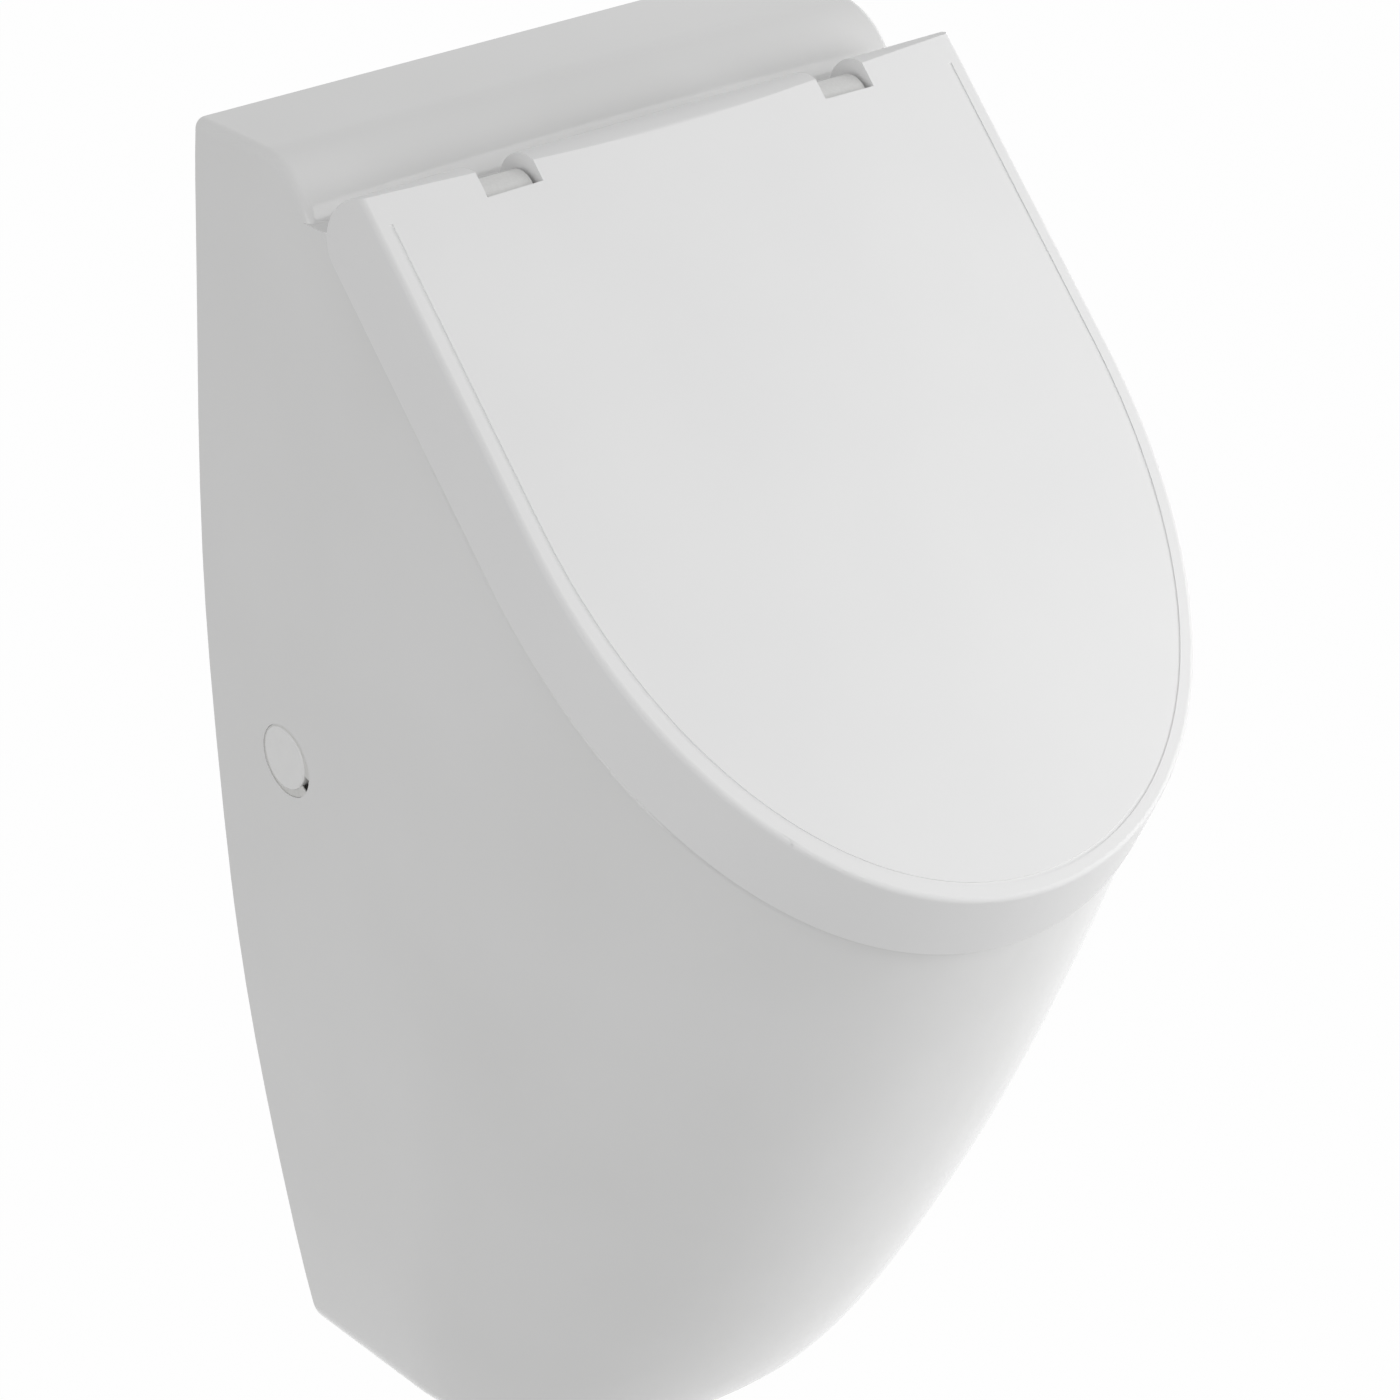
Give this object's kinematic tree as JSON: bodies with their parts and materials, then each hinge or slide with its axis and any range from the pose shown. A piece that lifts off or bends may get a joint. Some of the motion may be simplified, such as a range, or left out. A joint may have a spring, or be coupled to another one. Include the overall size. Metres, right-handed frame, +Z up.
{
  "type": "wall urinal with lid",
  "caption": "Wall-hung ceramic urinal with a sloping soft-close lid, flush inlet and trap behind, fixed to wall brackets from the sides.",
  "frame": {"origin": "on the wall, midway between the two bracket screw holes", "axes": "+Z up, +Y into the wall, +X to the right of a person facing it"},
  "size_m": [0.2842, 0.3187, 0.535],
  "materials": {
    "ceramic": "glazed",
    "lid": "glossy",
    "cap": "glossy",
    "steel": "brushed",
    "coated": "powder coated",
    "plated": "polished",
    "rubber": "matt",
    "buffer": "matt",
    "plastic": "matt",
    "grey_plastic": "matt",
    "zinc_steel": "zinc plated"
  },
  "bodies": {
    "urinal": {"ceramic_body": "ceramic", "cover_cap_left": "cap", "cover_cap_right": "cap", "side_screw_left": "steel", "side_screw_right": "steel", "screw_sleeve_left": "plastic", "screw_sleeve_right": "plastic", "wall_bracket_left": "zinc_steel", "wall_bracket_right": "zinc_steel", "inlet_pipe": "plated", "inlet_seal": "rubber", "spray_head": "plated", "spray_gasket": "rubber", "spray_lock_nut": "plastic", "outlet_strainer": "plated", "outlet_seal": "rubber", "trap_body": "grey_plastic", "hinge_post_left": "coated", "hinge_post_right": "coated", "hinge_pin_left": "steel", "hinge_pin_right": "steel", "hinge_bolt_left": "steel", "hinge_bolt_right": "steel", "hinge_pads": "plastic", "hinge_bushes": "rubber", "hinge_washers": "plastic", "hinge_nuts": "steel"},
    "lid": {"lid_shell": "lid", "lid_buffers": "buffer", "lid_damper_left": "grey_plastic", "lid_damper_right": "grey_plastic"}
  },
  "joints": [
    {"name": "lid_hinge", "type": "hinge", "parent": "urinal", "child": "lid", "pos_m": [0, -0.10172, 0.22266], "axis": [-1, 0, 0], "range_deg": [0, 145]}
  ]
}
